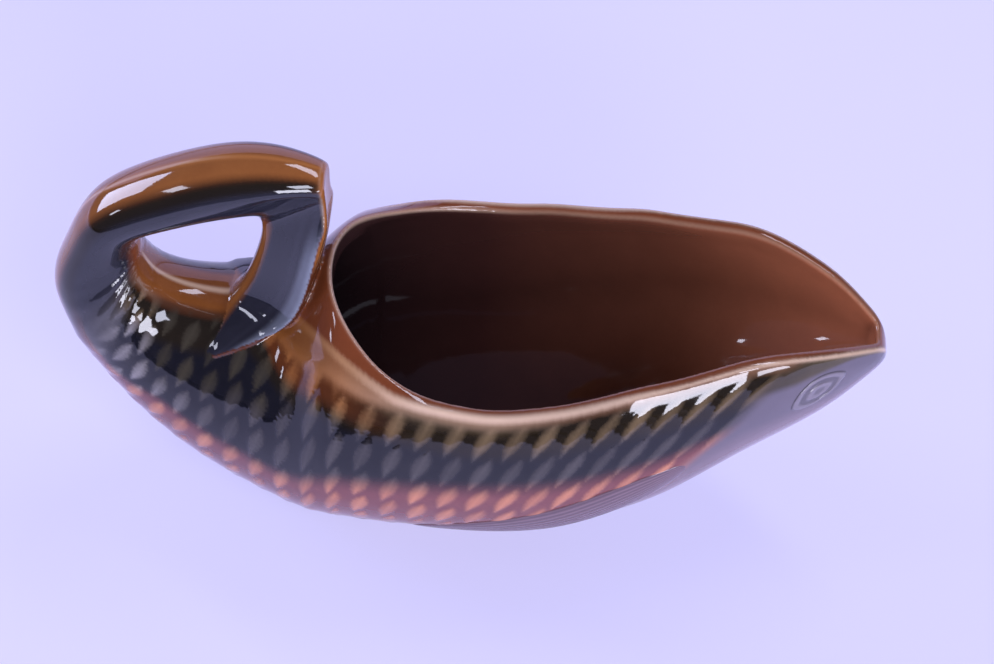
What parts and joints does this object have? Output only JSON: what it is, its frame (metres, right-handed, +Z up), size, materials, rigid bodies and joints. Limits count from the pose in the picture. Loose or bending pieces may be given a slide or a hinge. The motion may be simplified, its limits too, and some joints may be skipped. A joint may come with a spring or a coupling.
{
  "type": "gravy boat",
  "caption": "Fish-shaped earthenware gravy boat: hollow fish body open along its back, spout at the mouth, and a tail that curls up and over as the handle.",
  "frame": {"origin": "on the table, under the middle of the boat's length and width", "axes": "+Z up, +X towards the head and spout, +Y towards the fish's left side"},
  "size_m": [0.1978, 0.0806, 0.1109],
  "materials": {
    "body_glaze": "glossy majolica glaze, dark olive and slate over scales, amber and brown along the rim and tail",
    "fin_glaze": "glossy blue-grey majolica glaze",
    "foot_clay": "unglazed buff clay"
  },
  "bodies": {
    "root": {"body_shell": "body_glaze", "tail_stem": "body_glaze", "tail_fin": "body_glaze", "foot": "foot_clay", "left_eye": "fin_glaze", "right_eye": "fin_glaze", "left_side_fin": "fin_glaze", "right_side_fin": "fin_glaze"}
  },
  "joints": []
}
